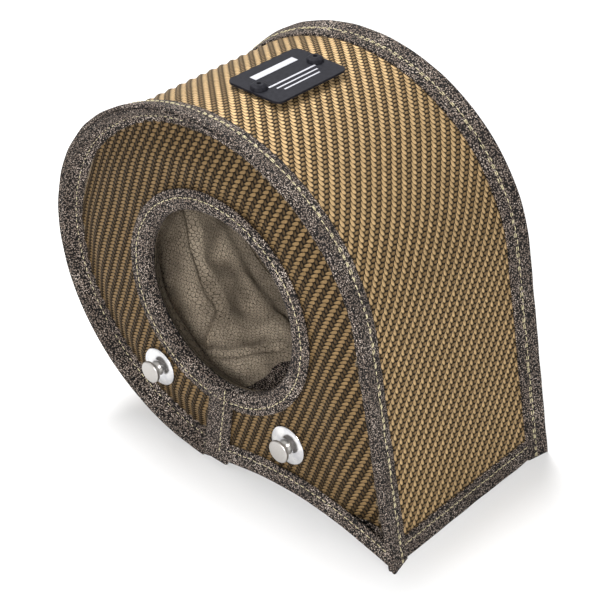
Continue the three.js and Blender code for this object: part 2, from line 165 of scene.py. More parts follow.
def outline(inset, stations):
    """Outline set in by an amount. Stations go from 0 to 1 up the flare and from 1 to 2 round to the slit."""
    stations = np.asarray(stations, float)
    turn = FLARE_START + (SEAM_END - FLARE_START) * np.clip(stations - 1, 0, 1)
    normal = np.stack([HALF_HEIGHT * np.cos(turn), HALF_WIDTH * np.sin(turn)], axis=-1)
    normal /= np.linalg.norm(normal, axis=-1, keepdims=True)
    point = np.stack([HALF_WIDTH * np.cos(turn), HALF_HEIGHT * np.sin(turn)], axis=-1)
    point = point - normal * inset
    down = np.array([normal[..., 1], -normal[..., 0]]).T
    fall = (point[..., 1] - FLOOR) / -down[..., 1].clip(-1, -1e-6)
    flare = np.where(stations < 1, (1 - stations) * fall, 0)
    return point + down * flare[..., None], normal


def even_stations(spacing, inset=0.0):
    """Stations a set distance apart along the inset outline, and their distances."""
    fine = np.linspace(0, 2, 4000)
    points, _ = outline(inset, fine)
    steps = np.linalg.norm(np.diff(points, axis=0), axis=1)
    lengths = np.concatenate([[0], np.cumsum(steps)])
    count = max(2, round(lengths[-1] / spacing))
    along = np.linspace(0, lengths[-1], count + 1)
    return np.interp(along, lengths, fine), along


# Meshes


def mesh_object(name, vertices, faces, uvs=None):
    """A smooth-shaded object from row-frame vertices, with one UV pair per vertex."""
    mesh = bpy.data.meshes.new(name)
    mesh.from_pydata([tuple(v) for v in vertices], [], [tuple(f) for f in faces])
    mesh.update()
    if uvs is not None:
        layer = mesh.uv_layers.new(name="UVMap")
        loops = np.zeros(len(mesh.loops), np.int32)
        mesh.loops.foreach_get("vertex_index", loops)
        layer.data.foreach_set("uv", np.asarray(uvs, np.float32)[loops].ravel())
    mesh.shade_smooth()
    made = bpy.data.objects.new(name, mesh)
    bpy.context.scene.collection.objects.link(made)
    return made


def grid_faces(rows, columns, wrap=False, flip=False):
    """Quads of a grid of vertices; wrap joins the last column to the first."""
    i, j = np.meshgrid(np.arange(rows - 1), np.arange(columns if wrap else columns - 1), indexing="ij")
    following = (j + 1) % columns
    a = i * columns + j
    b = i * columns + following
    quads = np.stack([a, b, b + columns, a + columns], axis=-1).reshape(-1, 4)
    return quads[:, ::-1] if flip else quads


def grid_object(name, points, uvs, wrap=False, flip=False, caps=False):
    """A grid of working-frame points (rows, columns, 3), closed by flat ends on request."""
    rows, columns = points.shape[:2]
    faces = [list(f) for f in grid_faces(rows, columns, wrap, flip)]
    if caps:
        first = list(range(columns))
        last = [(rows - 1) * columns + j for j in range(columns)]
        faces.append(first if flip else first[::-1])
        faces.append(last[::-1] if flip else last)
    return mesh_object(name, to_row(points.reshape(-1, 3)), faces, uvs.reshape(-1, 2))


def rounded(section, radius, steps=3):
    """A closed section with each corner eased by a short curve."""
    section = np.asarray(section, float)
    eased = []
    for i, corner in enumerate(section):
        before = section[i - 1] - corner
        after = section[(i + 1) % len(section)] - corner
        reach = min(radius, np.linalg.norm(before) / 2.01, np.linalg.norm(after) / 2.01)
        start = corner + before / np.linalg.norm(before) * reach
        end = corner + after / np.linalg.norm(after) * reach
        for t in np.linspace(0, 1, steps + 1):
            eased.append((1 - t) ** 2 * start + 2 * t * (1 - t) * corner + t * t * end)
    return np.array(eased)


def section_lengths(section):
    """Distance of each point from the first, measured along the points."""
    steps = np.linalg.norm(np.diff(section, axis=0), axis=1)
    return np.concatenate([[0], np.cumsum(steps)])


def waviness(along, across, seed, scale, amount):
    """A gentle repeatable unevenness, as a sum of sines."""
    rng = np.random.default_rng(seed)
    total = np.zeros(np.broadcast(along, across).shape)
    for _ in range(6):
        angle = rng.uniform(0, 2 * math.pi)
        wave = 2 * math.pi / (scale * rng.uniform(0.6, 1.6))
        phase = rng.uniform(0, 2 * math.pi)
        total += np.sin(wave * (along * math.cos(angle) + across * math.sin(angle)) + phase)
    return total * amount / 6


class Line:
    """A path in X and Z that sections are carried along. at(inset) gives its points and outward normals."""

    def __init__(self, at, along):
        self.at = at
        self.along = along


def seam_line(spacing=2.0):
    """The line of the seam's tip, from the foot round to the slit."""
    stations, along = even_stations(spacing)
    return Line(lambda inset: outline(inset, stations), along)


def foot_x(inset):
    """Where the outline, set in by an amount, meets the floor."""
    return outline(inset, np.array([0.0]))[0][0, 0]


def hem_line(spacing=2.0, end_inset=HEM_END_INSET):
    """The arched lower edge of a side panel, from the slit to the flare; an inset raises it."""
    begin = SLIT_FOOT_X - SLIT_COVER_WIDTH / 2
    span = foot_x(0.0) - begin
    reach = (foot_x(end_inset) - begin) / span
    share = np.linspace(0, reach, max(2, round(span * reach / spacing)) + 1)

    def at(inset):
        x = begin + span * share
        z = FLOOR + inset + HEM_RISE * np.sin(math.pi * share)
        return np.stack([x, z], axis=-1), np.stack([0 * x, 0 * x - 1], axis=-1)

    return Line(at, span * share)


def slit_line(spacing=2.0, top=None, foot=None):
    """The slit's line from the opening to the floor; an inset moves it to the left."""
    top = HOLE[1] - HOLE_RADIUS if top is None else top
    foot = FLOOR if foot is None else foot
    z = np.linspace(top, foot, max(2, round((top - foot) / spacing)) + 1)
    head = HOLE[1] - HOLE_RADIUS
    lean = (SLIT_FOOT_X - SLIT_TOP_X) / (head - FLOOR)

    def at(inset):
        x = SLIT_TOP_X + lean * (head - z) - inset
        return np.stack([x, z], axis=-1), np.stack([0 * x + 1, 0 * x], axis=-1)

    return Line(at, top - z)


def ring_line(sides=180):
    """The opening's edge as a closed path; an inset widens it away from the hole."""
    turns = np.linspace(0, 2 * math.pi, sides + 1)
    normal = -np.stack([np.cos(turns), np.sin(turns)], axis=-1)
    return Line(lambda inset: (HOLE - normal * (HOLE_RADIUS + inset), normal), turns * HOLE_RADIUS)


def sweep(name, side, section, line, uneven=0.12, seed=1, caps=True, flip=False):
    """A closed section of (inset, depth) points carried along a line of one side."""
    section = np.asarray(section, float)
    lengths = section_lengths(section)
    points = np.zeros((len(line.along), len(section), 3))
    for j, (inset, depth) in enumerate(section):
        spots, normal = line.at(inset)
        lift = waviness(line.along, lengths[j], seed, 26.0, uneven)
        points[:, j, 0] = spots[:, 0] + normal[:, 0] * lift
        points[:, j, 2] = spots[:, 1] + normal[:, 1] * lift
        points[:, j, 1] = on_side(side, depth)
    points[..., 2] = np.maximum(points[..., 2], FLOOR)
    uvs = np.stack(np.broadcast_arrays(line.along[:, None], lengths[None, :]), axis=-1)
    return grid_object(name, points, uvs, wrap=True, flip=flip != (side == "front"), caps=caps)


def stitch_faces(count):
    """Faces of a number of closed stitches, each a short tube of rings."""
    turns = len(STITCH_TURNS)
    last = (len(STITCH_SHARES) - 1) * turns
    quads = grid_faces(len(STITCH_SHARES), turns, wrap=True)
    caps = [list(range(turns))[::-1], list(range(last, last + turns))]
    faces = []
    for stitch in range(count):
        base = stitch * len(STITCH_SHARES) * turns
        faces.extend((quads + base).tolist())
        faces.extend([[base + corner for corner in cap] for cap in caps])
    return faces


def stitch_rise(share):
    """How high a stitch's middle line stands over the cloth, highest halfway and sunk at both ends."""
    return STITCH_WIDTH * (0.35 - 0.85 * np.abs(share) ** 3)


def sewn_row(name, side, line, inset, depth, facing, skip=0.0, seed=5):
    """A row of lockstitches on a surface that faces outwards ("out") or along the depth ("front")."""
    spots, normals = line.at(inset)
    lengths = section_lengths(spots)
    rng = np.random.default_rng(seed)
    middles = np.arange(STITCH_PITCH / 2, lengths[-1], STITCH_PITCH)
    middles = middles[rng.uniform(size=len(middles)) >= skip]
    runs = middles[:, None] + STITCH_SHARES * STITCH_LENGTH / 2
    shift = rng.uniform(-0.22, 0.22, (len(middles), 1))
    drift = shift + rng.uniform(-0.16, 0.16, (len(middles), 1)) * STITCH_SHARES
    x, z, nx, nz = [np.interp(runs, lengths, c) for c in (*spots.T, *normals.T)]
    out = np.stack([nx, 0 * nx, nz], axis=-1)
    out /= np.linalg.norm(out, axis=-1, keepdims=True)
    back = np.zeros_like(out)
    back[..., 1] = 1.0 if side == "front" else -1.0
    centre = np.stack([x, 0 * x + on_side(side, depth), z], axis=-1)
    face, sideways = (out, back) if facing == "out" else (-back, out)
    centre = centre + face * stitch_rise(STITCH_SHARES)[:, None] + sideways * drift[..., None]
    thick = STITCH_WIDTH / 2 * np.array([0.55, 0.95, 1.0, 0.95, 0.55])
    over = face[:, :, None, :] * np.cos(STITCH_TURNS)[:, None]
    across = sideways[:, :, None, :] * np.sin(STITCH_TURNS)[:, None]
    points = centre[:, :, None, :] + (over + across) * thick[:, None, None]
    return mesh_object(name, to_row(points.reshape(-1, 3)), stitch_faces(len(middles)))


def lathe(name, profile, place, sides=64):
    """A turned piece; place carries (radius, height) pairs into the working frame."""
    profile = np.asarray(profile, float)
    turns = np.linspace(0, 2 * math.pi, sides, endpoint=False)
    radius = profile[:, 0][:, None]
    height = np.broadcast_to(profile[:, 1][:, None], (len(profile), sides))
    points = place(np.stack([radius * np.cos(turns), radius * np.sin(turns), height], axis=-1))
    lengths = section_lengths(profile)
    uvs = np.stack(np.broadcast_arrays(lengths[:, None], turns[None, :]), axis=-1)
    return grid_object(name, points, uvs, wrap=True, caps=True)


# Shader expressions


def srgb(red, green, blue):
    """A colour picked as 0 to 255, in linear light."""
    values = [c / 255 for c in (red, green, blue)]
    return tuple(v / 12.92 if v <= 0.04045 else ((v + 0.055) / 1.055) ** 2.4 for v in values) + (1.0,)


class Field:
    """A value in a material, on which Python's arithmetic adds Math nodes."""

    def __init__(self, nodes, socket):
        self.nodes = nodes
        self.socket = socket

    def __add__(self, other):
        return self.nodes.math("ADD", self, other)

    def __sub__(self, other):
        return self.nodes.math("SUBTRACT", self, other)

    def __rsub__(self, other):
        return self.nodes.math("SUBTRACT", other, self)

    def __mul__(self, other):
        return self.nodes.math("MULTIPLY", self, other)

    def __truediv__(self, other):
        return self.nodes.math("DIVIDE", self, other)

    def __rtruediv__(self, other):
        return self.nodes.math("DIVIDE", other, self)

    def __gt__(self, other):
        return self.nodes.math("GREATER_THAN", self, other)

    __radd__ = __add__
    __rmul__ = __mul__


class Nodes:
    """The nodes of one tree and the maths on them."""

    def __init__(self, tree):
        self.tree = tree

    def node(self, kind, settings=None, values=None, output=0):
        made = self.tree.nodes.new(kind)
        for setting, value in (settings or {}).items():
            setattr(made, setting, value)
        for key, value in (values or {}).items():
            self.join(value, made.inputs[key])
        return Field(self, made.outputs[output])

    def join(self, value, socket):
        if isinstance(value, Field):
            self.tree.links.new(value.socket, socket)
        else:
            socket.default_value = value

    def math(self, operation, *terms):
        return self.node("ShaderNodeMath", {"operation": operation}, dict(enumerate(terms)))

    def blend(self, share, first, second, mode="MIX"):
        settings = {"data_type": "RGBA", "blend_type": mode}
        return self.node("ShaderNodeMix", settings, {0: share, 6: first, 7: second}, output=2)

    def ramp(self, value, low, high, start=0.0, end=1.0):
        settings = {"interpolation_type": "SMOOTHSTEP"}
        values = {"Value": value, "From Min": low, "From Max": high, "To Min": start, "To Max": end}
        return self.node("ShaderNodeMapRange", settings, values)

    def place(self):
        """Position on the object at rest, in metres."""
        return self.node("ShaderNodeTexCoord", output="Object")

    def uv(self):
        """The two UV values as separate fields."""
        pair = self.node("ShaderNodeUVMap", {"uv_map": "UVMap"})
        split = self.node("ShaderNodeSeparateXYZ", values={0: pair})
        return split, Field(self, split.socket.node.outputs[1])

    def vector(self, x, y, z=0.0):
        return self.node("ShaderNodeCombineXYZ", values={0: x, 1: y, 2: z})

    def noise(self, where, scale, detail=2.0, roughness=0.5):
        values = {"Vector": where, "Scale": scale, "Detail": detail, "Roughness": roughness}
        return self.node("ShaderNodeTexNoise", values=values)

    def cells(self, where, scale):
        return self.node("ShaderNodeTexVoronoi", values={"Vector": where, "Scale": scale})

    def chance(self, value):
        """A fixed random number for each whole value."""
        return self.node("ShaderNodeTexWhiteNoise", {"noise_dimensions": "1D"}, {"W": value})

    def bump(self, height, distance):
        return self.node("ShaderNodeBump", values={"Height": height, "Distance": distance})


class Recipe(Nodes):
    """One material: its nodes and its surface shader, whose even values are given at the start."""

    def __init__(self, name, **uniform):
        self.material = bpy.data.materials.new(name)
        self.material.use_nodes = True
        super().__init__(self.material.node_tree)
        self.shader = self.tree.nodes["Principled BSDF"]
        for socket, value in uniform.items():
            self.shader.inputs[socket.replace("_", " ")].default_value = value

    def finish(self, **varying):
        for socket, value in varying.items():
            self.join(value, self.shader.inputs[socket.replace("_", " ")])
        return self.material


# Materials


def yarn_crown(recipe, across):
    """Round section of a yarn over its width, which goes from -1 to 1."""
    return recipe.math("SQRT", recipe.math("MAXIMUM", 1 - across * across, 0.0))


def twill_weave(name, sheen_yarn, shaded_yarn, gap_shade):
    """Glossy 2/2 twill of filament yarns. UV counts yarns both ways; the bright ones run along U, their
    lighter colour being painted sheen, and the other yarns' darker colour painted shade.
    """
    recipe = Recipe(name, Specular_IOR_Level=0.12)
    a, b = recipe.uv()
    column = recipe.math("FLOOR", a)
    row = recipe.math("FLOOR", b)
    quarter = math.pi / 2
    dull_across = (a - column - 0.5) * 2.0
    bright_across = (b - row - 0.5) * 1.86
    dull_wave = recipe.math("COSINE", (b - column) * quarter)
    bright_wave = recipe.math("COSINE", (a - row - 3) * quarter)
    dull_height = dull_wave * 0.34 + yarn_crown(recipe, dull_across) * 0.54
    bright_height = bright_wave * 0.46 + yarn_crown(recipe, bright_across) * 0.66
    on_top = bright_height > dull_height
    height = recipe.math("MAXIMUM", dull_height, bright_height)
    crossing = recipe.ramp(recipe.math("ABSOLUTE", bright_height - dull_height), 0.0, 0.32)
    strands = recipe.blend(
        on_top,
        recipe.noise(recipe.vector(a * 6, b * 0.6), 1.0, 2.0),
        recipe.noise(recipe.vector(a * 0.6, b * 6), 1.0, 2.0),
    )
    strand = recipe.node("ShaderNodeSeparateColor", values={0: strands})
    tone = recipe.chance(column + row * 0.37) * 0.24 + strand * 0.7 + 0.53
    # Painted sheen and shade: both families are the same fibre; the yarns along U take the lighter colour and
    # the others the darker one.
    yarn = recipe.blend(on_top, shaded_yarn, sheen_yarn)
    toned = recipe.blend(1.0, yarn, recipe.vector(tone, tone, tone), "MULTIPLY")
    # Painted shade: where a yarn lies low or dips where the two families cross, the colour goes towards the
    # near-black gap colour.
    depth = recipe.ramp(height, 0.5, 0.92) * (crossing * 0.8 + 0.2)
    colour = recipe.blend(depth, gap_shade, toned)
    return recipe.finish(
        Base_Color=colour,
        Metallic=depth * 0.4,
        Roughness=recipe.ramp(depth, 0.0, 1.0, 0.8, 0.5),
        Normal=recipe.bump(height + strand * 0.12, 0.0009),
    )


def bound_tape(name, hole, yarn, fleck):
    """Grey-brown knitted tape: small loops with dark holes and pale flecks."""
    recipe = Recipe(name, Roughness=0.8, Specular_IOR_Level=0.2)
    where = recipe.place()
    loops = recipe.cells(where, 1150.0)
    grain = recipe.noise(where, 1500.0, 1.0, 0.5)
    broad = recipe.noise(where, 60.0, 2.0)
    thread = recipe.ramp(loops + (grain - 0.5) * 0.5, 0.26, 0.56)
    worn = recipe.blend(recipe.ramp(grain + (broad - 0.5) * 0.4, 0.52, 0.68), yarn, fleck)
    colour = recipe.blend(thread, worn, hole)
    height = grain * 0.6 - loops * 0.9
    return recipe.finish(Base_Color=colour, Normal=recipe.bump(height, 0.0007))


def liner_mesh(name, ground, line, fade, wide, tall):
    """Brown-grey honeycomb mesh with cells of a set size in millimetres."""
    recipe = Recipe(name, Roughness=0.9, Specular_IOR_Level=0.2)
    where = recipe.place()
    fine = recipe.noise(where, 1300.0, 2.0, 0.6)
    broad = recipe.noise(where, 45.0, 3.0)
    sway = recipe.noise(where, 160.0, 2.0)
    drift = recipe.noise(where, 120.0, 1.0)
    u, v = recipe.uv()
    a = u / wide + sway * LINER_SWAY
    b = v / tall + drift * LINER_SWAY
    crack = recipe.math("MINIMUM", hexagon(recipe, a, b), hexagon(recipe, a + 0.5, b + 0.5))
    lines = recipe.ramp(crack + (fine - 0.5) * 0.1, 0.5, 0.42)
    body = recipe.blend(recipe.ramp(broad, 0.35, 0.7), ground, fade)
    speckled = recipe.blend(recipe.ramp(fine, 0.3, 0.7, 0.0, 0.5), body, line)
    colour = recipe.blend(lines, line, speckled)
    height = fine * 0.6 + lines * 0.7
    return recipe.finish(Base_Color=colour, Normal=recipe.bump(height, 0.0005))


def hexagon(recipe, a, b):
    """Distance from the nearest whole point, measured so that equal distances are hexagons."""
    x = recipe.math("ABSOLUTE", a - recipe.math("ROUND", a))
    y = recipe.math("ABSOLUTE", b - recipe.math("ROUND", b))
    return recipe.math("MAXIMUM", x, x * 0.5 + y * 1.5)


def polished_steel(name):
    """Bright pressed steel of the washers, faintly smeared."""
    recipe = Recipe(name, Metallic=1.0)
    where = recipe.place()
    smear = recipe.noise(where, 260.0, 3.0)
    colour = recipe.blend(recipe.ramp(smear, 0.3, 0.7), srgb(188, 188, 191), srgb(212, 211, 210))
    return recipe.finish(Base_Color=colour, Roughness=recipe.ramp(smear, 0.3, 0.7, 0.16, 0.26))


def brushed_steel(name):
    """Turned steel of the studs and the hidden washers."""
    recipe = Recipe(name, Metallic=1.0)
    where = recipe.place()
    grain = recipe.noise(where, 1500.0, 2.0)
    colour = recipe.blend(grain, srgb(158, 155, 151), srgb(192, 188, 184))
    return recipe.finish(Base_Color=colour, Roughness=recipe.ramp(grain, 0.3, 0.7, 0.3, 0.42))


def satin_black(name):
    """Black coating of the plate and its rivets."""
    recipe = Recipe(name, Specular_IOR_Level=0.06)
    where = recipe.place()
    grain = recipe.noise(where, 700.0, 3.0)
    colour = recipe.blend(recipe.ramp(grain, 0.3, 0.7), srgb(26, 26, 31), srgb(40, 40, 45))
    return recipe.finish(Base_Color=colour, Roughness=recipe.ramp(grain, 0.3, 0.7, 0.45, 0.6))


def pale_thread(name):
    """Cream sewing thread with a light twist."""
    recipe = Recipe(name, Roughness=0.6)
    where = recipe.place()
    twist = recipe.noise(where, 1600.0, 2.0)
    colour = recipe.blend(recipe.ramp(twist, 0.3, 0.7), srgb(140, 130, 100), srgb(222, 211, 172))
    return recipe.finish(Base_Color=colour, Normal=recipe.bump(twist, 0.0002))


def etched_mark(name):
    """Bare metal of the plate's bars."""
    recipe = Recipe(name, Metallic=0.4)
    where = recipe.place()
    grain = recipe.noise(where, 900.0, 2.0)
    colour = recipe.blend(grain, srgb(160, 160, 166), srgb(188, 188, 194))
    return recipe.finish(Base_Color=colour, Roughness=recipe.ramp(grain, 0.3, 0.7, 0.4, 0.55))


# Pieces


def dress(piece, material, nodes=()):
    """Gives a piece its finish, and takes the place of its plain solids."""
    piece.data.materials.append(material)
    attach(piece, "root")
    if nodes:
        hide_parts(*nodes)
    return piece


def rib_relief(a, b):
    """Height of the twill's ribs over yarn counts both ways."""
    return RIB_RELIEF * np.cos(2 * math.pi * (a - b - 0.5) / TWILL_REPEAT)


def band_cover(material):
    """The band's woven cover, between the two seam tapes."""
    edge = TAPE_WIDTH - 1.0
    stations, along = even_stations(0.9, BAND_FACE)
    depth = np.linspace(edge, BAND_WIDTH - edge, 116)
    line, normal = outline(BAND_FACE, stations)
    a = along[:, None] / BAND_YARN_ALONG + 0 * depth
    b = depth[None, :] / BAND_YARN_ACROSS + 0 * a
    near_edge = np.minimum(depth - edge, BAND_WIDTH - edge - depth)
    lift = rib_relief(a, b) * smooth(0, 3, near_edge) + waviness(along[:, None], depth[None, :], 3, 60, 0.5)
    points = np.zeros(a.shape + (3,))
    points[..., 0] = line[:, :1] + normal[:, :1] * lift
    points[..., 1] = depth
    points[..., 2] = np.maximum(line[:, 1:] + normal[:, 1:] * lift, FLOOR)
    uvs = np.stack([a, b], axis=-1)
    return dress(
        grid_object("band_cover", points, uvs),
        material,
        ["band_outer_fabric", "band_insulation"],
    )


def panel_reach(turns):
    """How far a panel's cover runs from the opening's centre at each angle."""
    fine = np.linspace(0, 2, 3000)
    seam, _ = outline(PANEL_TAPE_WIDTH - HEM_LAP, fine)
    hem, _ = hem_line(0.2, 0.0).at(HEM_WIDTH - HEM_LAP)
    edge = np.concatenate([seam, hem])
    spoke = edge - HOLE
    angle = np.arctan2(spoke[:, 1], spoke[:, 0])
    radius = np.linalg.norm(spoke, axis=1)
    spokes = 720
    wanted = np.round((turns + math.pi) / (2 * math.pi) * spokes).astype(int) % spokes
    owner = np.round((angle + math.pi) / (2 * math.pi) * spokes).astype(int) % spokes
    nearest = np.full(spokes, np.inf)
    np.minimum.at(nearest, owner, radius)
    known = np.isfinite(nearest)
    every = np.arange(spokes)
    nearest = np.interp(every, every[known], nearest[known], period=spokes)
    return nearest[wanted]


def round_opening(turns, inner, reach, share):
    """A panel's grid of points from its opening out to its edge, with their distances from the centre."""
    radius = inner + (reach[:, None] - inner) * share
    spokes = np.stack([np.cos(turns), np.sin(turns)], axis=-1)
    return HOLE + radius[..., None] * spokes[:, None, :], radius


def seam_distance(points):
    """Distance of working-frame points from the seam's tip line."""
    fine, _ = outline(0.0, np.linspace(0, 2, 700))
    flat = points.reshape(-1, 2)
    batch = 8000
    found = np.empty(len(flat))
    for start in range(0, len(flat), batch):
        gaps = flat[start : start + batch, None, :] - fine[None, :, :]
        found[start : start + batch] = np.sqrt((gaps**2).sum(-1).min(1))
    return found.reshape(points.shape[:2])


def pillow_depth(distance):
    """Depth of the cover behind the seam's tip: low at the tape and full towards the opening."""
    rise = smooth(9.0, 31.0, distance)
    return PANEL_EDGE_DEPTH + (PANEL_FACE - PANEL_EDGE_DEPTH) * rise


def panel_cover(side, material):
    """A side panel's woven cover, from under the opening's tape to the edge."""
    turns = np.linspace(-math.pi, math.pi, 721)
    share = np.linspace(0, 1, 66) ** 1.05
    flat, _ = round_opening(turns, HOLE_RADIUS + 3.0, panel_reach(turns), share)
    cos, sin = math.cos(PANEL_YARN_ANGLE), math.sin(PANEL_YARN_ANGLE)
    a = -(flat[..., 0] * cos + flat[..., 1] * sin) / PANEL_YARN
    b = (flat[..., 0] * -sin + flat[..., 1] * cos) / PANEL_YARN
    ribs = rib_relief(a, -b)
    depth = pillow_depth(seam_distance(flat))
    depth = depth - ribs - waviness(flat[..., 0], flat[..., 1], 8, 55, 0.9)
    points = np.stack([flat[..., 0], on_side(side, depth), flat[..., 1]], axis=-1)
    uvs = np.stack([a, -b], axis=-1)
    return dress(
        grid_object(f"{side}_panel_cover", points, uvs, flip=side == "rear"),
        material,
        [f"{side}_panel_outer_fabric", f"{side}_panel_insulation"],
    )


def seam_tapes(side, material):
    """The two bound edges that stand face to face as the seam's fin."""
    band_section = rounded(
        [
            (0.0, 0.0),
            (TAPE_LEAN * 0.55, TAPE_WIDTH * 0.55),
            (TAPE_LEAN, TAPE_WIDTH),
            (TAPE_LEAN + TAPE_THICKNESS, TAPE_WIDTH),
            (TAPE_THICKNESS, 0.0),
        ],
        0.9,
    )
    dress(
        sweep(f"{side}_band_tape", side, band_section, seam_line(), seed=11, uneven=0.3),
        material,
        [f"{side}_band_seam_tape"],
    )
    outer = TAPE_THICKNESS + 0.15
    low = PANEL_TAPE_DEPTH
    panel_section = rounded(
        [
            (outer, 0.0),
            (outer + TAPE_LEAN * 0.6, low),
            (PANEL_TAPE_WIDTH, low + 0.3),
            (PANEL_TAPE_WIDTH, low - 1.5),
            (outer + 5.6, low - TAPE_THICKNESS),
            (outer + 2.9, 2.6),
            (outer + 2.2, 0.0),
        ],
        1.4,
    )
    dress(
        sweep(f"{side}_panel_tape", side, panel_section, seam_line(), seed=12, uneven=0.3),
        material,
        [f"{side}_panel_seam_tape"],
    )


def opening_binding(side, material):
    """One tape round the opening, over the slit and along the hem."""
    face = PANEL_FACE - BINDING_THICKNESS - 0.5
    back = PANEL_LINER_FACE + 1.9
    ring = rounded(
        [
            (RING_WIDTH, face + 1.3),
            (RING_WIDTH, face),
            (RING_WIDTH / 2, face - 0.3),
            (0.6, face + 0.5),
            (0.0, face + 3.0),
            (0.5, face + RING_ROLL),
            (WALL_THICKNESS + 0.6, face + RING_ROLL),
            (WALL_THICKNESS, face + 3.0),
            (WALL_THICKNESS + 1.0, face + 1.6),
        ],
        1.3,
    )
    dress(
        sweep(f"{side}_opening_tape", side, ring, ring_line(), seed=21, uneven=0.35, caps=False),
        material,
        [f"{side}_opening_binding"],
    )
    half = SLIT_COVER_WIDTH / 2
    cover = rounded([(-half, face - 0.5), (half, face - 0.5), (half, face + 1.5), (-half, face + 1.5)], 0.8)
    line = slit_line(top=HOLE[1] - HOLE_RADIUS - 1.0, foot=FLOOR + 3.0)
    cover_piece = sweep(f"{side}_slit_cover", side, cover, line, seed=22, uneven=0.35, flip=True)
    dress(cover_piece, material)
    hem = rounded(
        [
            (HEM_WIDTH, face + 1.3),
            (HEM_WIDTH, face),
            (HEM_WIDTH / 2, face - 0.2),
            (0.5, face),
            (0.0, (face + back) / 2),
            (0.5, back),
            (HEM_WIDTH - HEM_LAP, back),
            (HEM_WIDTH - HEM_LAP, back - BINDING_THICKNESS),
            (WALL_THICKNESS + 0.5, back - BINDING_THICKNESS),
            (WALL_THICKNESS, (face + back) / 2),
            (WALL_THICKNESS + 0.5, face + 1.3),
        ],
        1.0,
    )
    dress(
        sweep(f"{side}_hem_tape", side, hem, hem_line(), seed=23, uneven=0.3, flip=True),
        material,
        [f"{side}_slit_edge_tape"],
    )


def stitching(side, material):
    """All rows of stitches on one side, each with its line, inset, depth, facing and share left out."""
    seam = seam_line(1.0)
    slope = TAPE_LEAN / TAPE_WIDTH
    face = PANEL_FACE - BINDING_THICKNESS
    rows = {
        "band_tape_stitches": (seam, 7.9 * slope, 7.9, "out", 0.0),
        "band_tape_second_stitches": (seam, 8.9 * slope, 8.9, "out", 0.5),
        "panel_tape_stitches": (seam, 8.3, PANEL_TAPE_DEPTH - 2.1, "front", 0.0),
        "opening_stitches": (ring_line(), RING_STITCH, face - 0.75, "front", 0.0),
        "hem_stitches": (hem_line(1.0), 9.2, face - 0.6, "front", 0.0),
        "slit_stitches": (slit_line(1.0, foot=FLOOR + 9.0), -2.8, face - 1.0, "front", 0.0),
    }
    for seed, (name, (line, inset, depth, facing, skip)) in enumerate(rows.items()):
        row = sewn_row(f"{side}_{name}", side, line, inset, depth, facing, skip=skip, seed=40 + seed)
        dress(row, material)


def lining_creases(angle, depth):
    """The pressed-in creases of the slack lining, each with a soft ridge on both sides."""
    total = np.zeros(np.broadcast(angle, depth).shape)
    arc = math.radians(HALF_WIDTH - BAND_LINER_FACE)
    for crease, width, drop in LINING_CREASES:
        nearest = np.full(total.shape, 1e9)
        for (angle_a, depth_a), (angle_b, depth_b) in zip(crease[:-1], crease[1:]):
            run = np.array([(angle_b - angle_a) * arc, depth_b - depth_a])
            x = (angle - angle_a) * arc
            y = depth - depth_a
            share = np.clip((x * run[0] + y * run[1]) / (run @ run), 0, 1)
            nearest = np.minimum(nearest, np.hypot(x - share * run[0], y - share * run[1]))
        ridge = 0.9 * np.exp(-((nearest / (3 * width)) ** 2))
        groove = 1.9 * np.exp(-((nearest / width) ** 2))
        total += drop * (ridge - groove)
    return total


def band_lining(material):
    """The band's inner face: soft, slightly slack and drawn in at both seams."""
    stations, along = even_stations(2.0, BAND_LINER_FACE)
    depth = np.linspace(LINING_START, BAND_WIDTH - LINING_START, 64)
    edge = np.minimum(depth - LINING_START, BAND_WIDTH - LINING_START - depth)
    slack = smooth(13.0, 26.0, edge)[None, :]
    swell = LINING_SWELL * slack
    folds = waviness(along[:, None], depth[None, :], 31, 40, 7.0) * slack
    fine = waviness(along[:, None], depth[None, :], 32, 12, 0.9) * slack
    ends = smooth(0.0, 14.0, np.minimum(along, along[-1] - along))[:, None]
    line, normal = outline(BAND_LINER_FACE - 2.0, stations)
    angle = np.degrees(np.arctan2(line[:, 1], line[:, 0]))
    creases = lining_creases(angle[:, None], depth[None, :])
    lift = (swell + folds + fine + creases * slack) * ends + 0.3
    points = np.zeros(lift.shape + (3,))
    points[..., 0] = line[:, :1] - normal[:, :1] * lift
    points[..., 1] = depth
    points[..., 2] = np.maximum(line[:, 1:] - normal[:, 1:] * lift, FLOOR + 0.5)
    uvs = np.stack(np.broadcast_arrays(along[:, None], depth[None, :]), axis=-1)
    return dress(grid_object("band_lining", points, uvs, flip=True), material, ["band_liner"])


def panel_lining(side, material):
    """A side panel's inner face, drawn in towards the seam and puffed between."""
    turns = np.linspace(-math.pi, math.pi, 361)
    inner = HOLE_RADIUS + 0.8
    flat, radius = round_opening(turns, inner, panel_reach(turns) + 5.0, np.linspace(0, 1, 34))
    puff = smooth(15.0, 19.5, seam_distance(flat)) * smooth(0.0, 14.0, radius - inner)
    swell = LINING_PUFF + waviness(flat[..., 0], flat[..., 1], 33, 40, 3.0)
    depth = PANEL_LINER_FACE - 2.6 + swell * puff
    points = np.stack([flat[..., 0], on_side(side, depth), flat[..., 1]], axis=-1)
    made = grid_object(f"{side}_panel_lining", points, flat, flip=side == "front")
    return dress(made, material, [f"{side}_panel_liner"])


